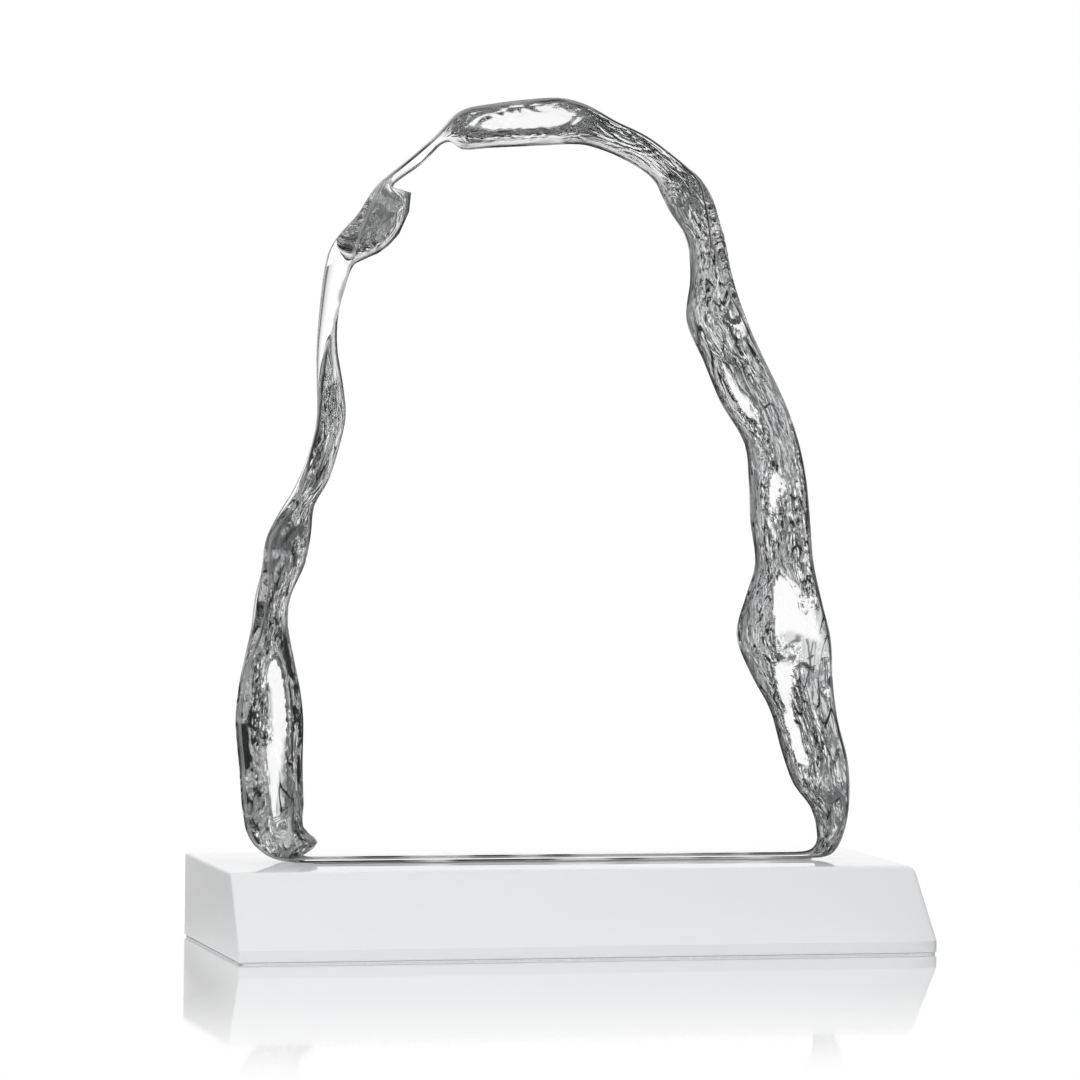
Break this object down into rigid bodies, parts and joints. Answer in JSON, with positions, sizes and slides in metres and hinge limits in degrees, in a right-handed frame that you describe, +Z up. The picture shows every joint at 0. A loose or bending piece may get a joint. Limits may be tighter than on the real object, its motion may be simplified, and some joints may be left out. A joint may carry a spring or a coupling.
{
  "type": "iceberg award",
  "caption": "Clear crystal slab with flat faces and a chipped, ice-like edge, bonded upright on a glossy white plinth with a sloping front, for display as an award or ornament.",
  "frame": {"origin": "centre of the plinth's footprint, on the surface that the award stands on", "axes": "+Z up, +X along the plinth to the viewer's right, +Y from the front face to the back"},
  "size_m": [0.211, 0.076, 0.2507],
  "materials": {
    "clear_crystal": "clear optical crystal, flat faces polished, chipped edge fire polished",
    "clear_bond": "clear cured adhesive film",
    "white_plinth": "opaque white, polished to a gloss",
    "pad_foam": "thin closed-cell foam, matt"
  },
  "bodies": {
    "root": {"iceberg_crystal": "clear_crystal", "bond_film": "clear_bond", "plinth": "white_plinth", "underside_pad": "pad_foam"}
  },
  "joints": []
}
